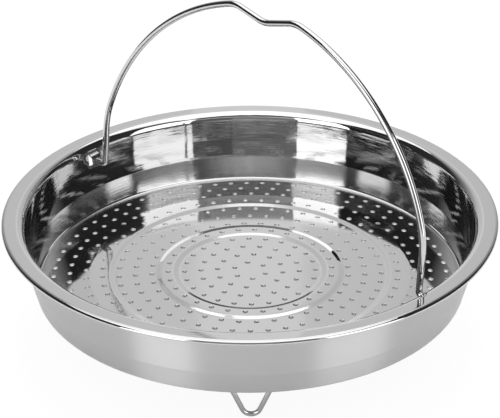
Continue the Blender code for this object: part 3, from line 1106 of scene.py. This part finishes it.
def card_light():
    """Make the cards' glow, whose strength is kept on the points of each card."""
    g = Shader("card_light")
    glow = g.add("ShaderNodeEmission", {}, {"Strength": g.attribute("strength")})
    g.node("ShaderNodeOutputMaterial", {}, {"Surface": glow})
    return g.material


CARD_LIGHT = card_light()


def hang(name, corners, faces, light):
    """Put a card in the scene, for reflections only."""
    mesh = bpy.data.meshes.new(name)
    mesh.from_pydata(corners, [], faces)
    mesh.attributes.new("strength", "FLOAT", "POINT").data.foreach_set("value", light)
    thing = linked(name, mesh)
    dress(thing, CARD_LIGHT)
    thing.visible_camera = False
    thing.visible_diffuse = False
    thing.visible_shadow = False
    thing.visible_transmission = False


def card(name, sides, heights, strengths):
    """Curve a card round the basket, from one side angle to another, and fade its light."""
    corners = []
    light = []
    for height in heights:
        lift = math.tan(math.radians(height)) * CARD_DISTANCE
        for i in range(CARD_COLUMNS + 1):
            share = i / CARD_COLUMNS
            turn = math.radians(sides[0] + (sides[1] - sides[0]) * share) + CAMERA_TURN - math.pi / 2
            x = CARD_DISTANCE * math.cos(turn)
            y = CARD_DISTANCE * math.sin(turn)
            corners.append((x, y, RIM_TOP + lift))
            light.append(strengths[0] + (strengths[1] - strengths[0]) * share)
    row = CARD_COLUMNS + 1
    hang(name, corners, [(i, i + 1, i + row + 1, i + row) for i in range(CARD_COLUMNS)], light)


print("cards stand", CARD_DISTANCE, "m from the basket")

# %% [markdown]
# ## Standing the cards
#
# Side angles count from the camera's direction, below zero to its left and above zero
# to its right, and heights are angles above the rim's plane.  The last pair is the
# card's strength at its two sides.  The box overhead is a flat rectangle, which reaches
# further to the left and to the back.

# %% Stand the cards round the basket
CARDS = [
    ("left_soft_box", (-54, -26), (-2.5, 42), (2.8, 2.8)),
    ("right_soft_box", (31, 65), (-2.5, 42), (2.3, 2.3)),
    ("room_between", (-26, 9), (-1, 32), (0.28, 0.28)),
    ("room_between_dark", (9, 31), (-1, 32), (0.15, 0.15)),
    ("room_between_high", (-26, 31), (32, 41), (0.70, 0.60)),
    ("room_above", (-26, 31), (41, 59), (0.04, 0.04)),
    ("room_above_left_box", (-54, -26), (42, 58), (0.10, 0.06)),
    ("room_above_right_box", (31, 65), (42, 58), (0.06, 0.10)),
    ("left_dark_wing", (-128, -54), (-1, 58), (0.04, 0.02)),
    ("left_grey_wing", (-156, -128), (-1, 58), (0.66, 0.04)),
    ("right_dark_wing", (65, 126), (-1, 58), (0.04, 0.03)),
    ("right_grey_wing", (126, 154), (-1, 58), (0.03, 0.66)),
    ("left_backdrop", (-177, -156), (-1, 60), (0.86, 0.73)),
    ("right_backdrop", (154, 177), (-1, 60), (0.71, 0.84)),
    ("middle_backdrop", (177, 183), (-1, 60), (0.98, 0.98)),
]
for name, sides, heights, strengths in CARDS:
    card(name, sides, heights, strengths)

CEILING = 1.5
CEILING_LEFT = -0.95
CEILING_RIGHT = 0.72
CEILING_FRONT = -0.8
CEILING_BACK = 1.1
CEILING_STRENGTH = 1.8
ceiling_corners = [(CEILING_LEFT, CEILING_FRONT), (CEILING_RIGHT, CEILING_FRONT),
                   (CEILING_RIGHT, CEILING_BACK), (CEILING_LEFT, CEILING_BACK)]
camera_side = Matrix.Rotation(CAMERA_TURN, 3, "Z")
hang("ceiling_box", [camera_side @ Vector((x, y, CEILING)) for x, y in ceiling_corners],
     [(0, 1, 2, 3)], [CEILING_STRENGTH] * 4)
print(len(CARDS), "cards stand round the basket, and one box hangs", CEILING, "m up")

# %% [markdown]
# ## Table, room light and lamp
#
# The table is white.  A plain diffuse table would show a heavy grey shadow, so the
# camera sees it mostly as a white glow, with the shadow kept faintly.  The mirroring
# steel sees far less of that glow.  Under the basket and a little behind it, a soft-edged
# disc of painted shade takes the glow away, so the matt table shows its real shadow there and the
# holes look into shade.

# %% Lay the table and light it
TABLE_WHITE = 0.82
GLOW_STRENGTH = 1.03
TABLE_GLOW = 0.90
MIRRORED_GLOW = 0.15
# Painted shade on the table: the disc's shift away from the camera, its radius and its soft edge.
PAINTED_SHADE_BEHIND = 0.056
PAINTED_SHADE_RADIUS = 0.122
PAINTED_SHADE_BLUR = 0.027
TABLE_REACH = 6.0
LAMP_PLACE = (-0.3, 0.5, 2.2)
LAMP_AIM = (0.0, 0.0, 0.05)
LAMP_SIZE = 1.6
LAMP_POWER = 26.0


def make_table():
    """Lay the white table under the basket, with a disc of painted shade under and behind it."""
    g = Shader("white_table")
    rays = g.node("ShaderNodeLightPath")
    seen = Value(g, rays.outputs["Is Camera Ray"])
    seen = seen.math("MAXIMUM", Value(g, rays.outputs["Is Transmission Ray"])) * TABLE_GLOW
    seen = seen.math("MAXIMUM", Value(g, rays.outputs["Is Glossy Ray"]) * MIRRORED_GLOW)
    # Painted shade: a soft disc under the basket, shifted away from the camera, where the glow is
    # taken away and only the matt table with its real shadow shows.
    x, y, _ = g.parts(g.point())
    x = x + PAINTED_SHADE_BEHIND * math.sin(CAMERA_TURN)
    y = y - PAINTED_SHADE_BEHIND * math.cos(CAMERA_TURN)
    apart = (x * x + y * y).math("SQRT")
    outside_painted_shade = ((apart - PAINTED_SHADE_RADIUS) / PAINTED_SHADE_BLUR).math("ADD", 1.0, clamp=True)
    matt = g.add("ShaderNodeBsdfDiffuse", {}, {"Color": (TABLE_WHITE, TABLE_WHITE, TABLE_WHITE, 1.0)})
    glow = g.add("ShaderNodeEmission", {},
                 {"Color": (1.0, 1.0, 1.0, 1.0), "Strength": GLOW_STRENGTH})
    table_top = g.add("ShaderNodeMixShader", {}, {0: seen * outside_painted_shade, 1: matt, 2: glow})
    g.node("ShaderNodeOutputMaterial", {}, {"Surface": table_top})
    reach = TABLE_REACH
    mesh = bpy.data.meshes.new("table")
    mesh.from_pydata([(-reach, -reach, 0), (reach, -reach, 0), (reach, reach, 0), (-reach, reach, 0)],
                     [], [(0, 1, 2, 3)])
    table = linked("table", mesh)
    dress(table, g.material)


def light_room():
    """Light the room evenly, with a white backdrop."""
    world = bpy.data.worlds.new("white_room")
    world.use_nodes = True
    world.node_tree.nodes.clear()
    g = Graph(world.node_tree)
    light = g.add("ShaderNodeBackground", {}, {"Color": (1.0, 1.0, 1.0, 1.0), "Strength": 1.0})
    g.node("ShaderNodeOutputWorld", {}, {"Surface": light})
    bpy.context.scene.world = world


def hang_lamp():
    """Hang one square soft lamp that looks at the basket."""
    data = bpy.data.lights.new("top_lamp", "AREA")
    data.shape = "SQUARE"
    data.size = LAMP_SIZE
    data.energy = LAMP_POWER
    lamp = linked("top_lamp", data)
    lamp.location = LAMP_PLACE
    aim = Vector(LAMP_AIM) - Vector(LAMP_PLACE)
    lamp.rotation_euler = aim.to_track_quat("-Z", "Y").to_euler()
    lamp.visible_glossy = False
    lamp.visible_camera = False


make_table()
light_room()
hang_lamp()
print("table and lamp ready")

# %% [markdown]
# ## The camera
#
# The photo was taken with a long lens from about 28 degrees above, at a slight roll.
# The numbers come from fitting the rim's circle and the bail to the picture.

# %% Place the camera
LENS = 144.0
CAMERA_DISTANCE = 8.0762 * RIM_RADIUS
CAMERA_HEIGHT = math.radians(28.347)
CAMERA_YAW = math.radians(0.0055)
CAMERA_PITCH = math.radians(0.0376)
CAMERA_ROLL = math.radians(0.315)


def turned(first, second, angle):
    """Turn two axes by an angle in the plane that they span."""
    cosine, sine = math.cos(angle), math.sin(angle)
    return first * cosine - second * sine, first * sine + second * cosine


def place_camera():
    """Place the fitted camera round the rim's centre."""
    away = Vector((0.0, -math.cos(CAMERA_HEIGHT), math.sin(CAMERA_HEIGHT))) * CAMERA_DISTANCE
    ahead = -away.normalized()
    right = Vector((1.0, 0.0, 0.0))
    up = right.cross(ahead)
    right, ahead = turned(right, ahead, CAMERA_YAW)
    up, ahead = turned(up, ahead, CAMERA_PITCH)
    right, up = turned(right, up, CAMERA_ROLL)
    turn = Matrix.Rotation(CAMERA_TURN, 4, "Z")
    axes = Matrix((right, up, -ahead)).transposed().to_4x4()
    data = bpy.data.cameras.new("photo_camera")
    data.lens = LENS
    camera = linked("photo_camera", data)
    lift = Matrix.Translation((0.0, 0.0, RIM_TOP))
    camera.matrix_world = lift @ turn @ Matrix.Translation(away) @ axes
    bpy.context.scene.camera = camera


place_camera()
bpy.context.scene.view_settings.view_transform = "Standard"
print("camera at", [round(v, 3) for v in bpy.context.scene.camera.matrix_world.translation])
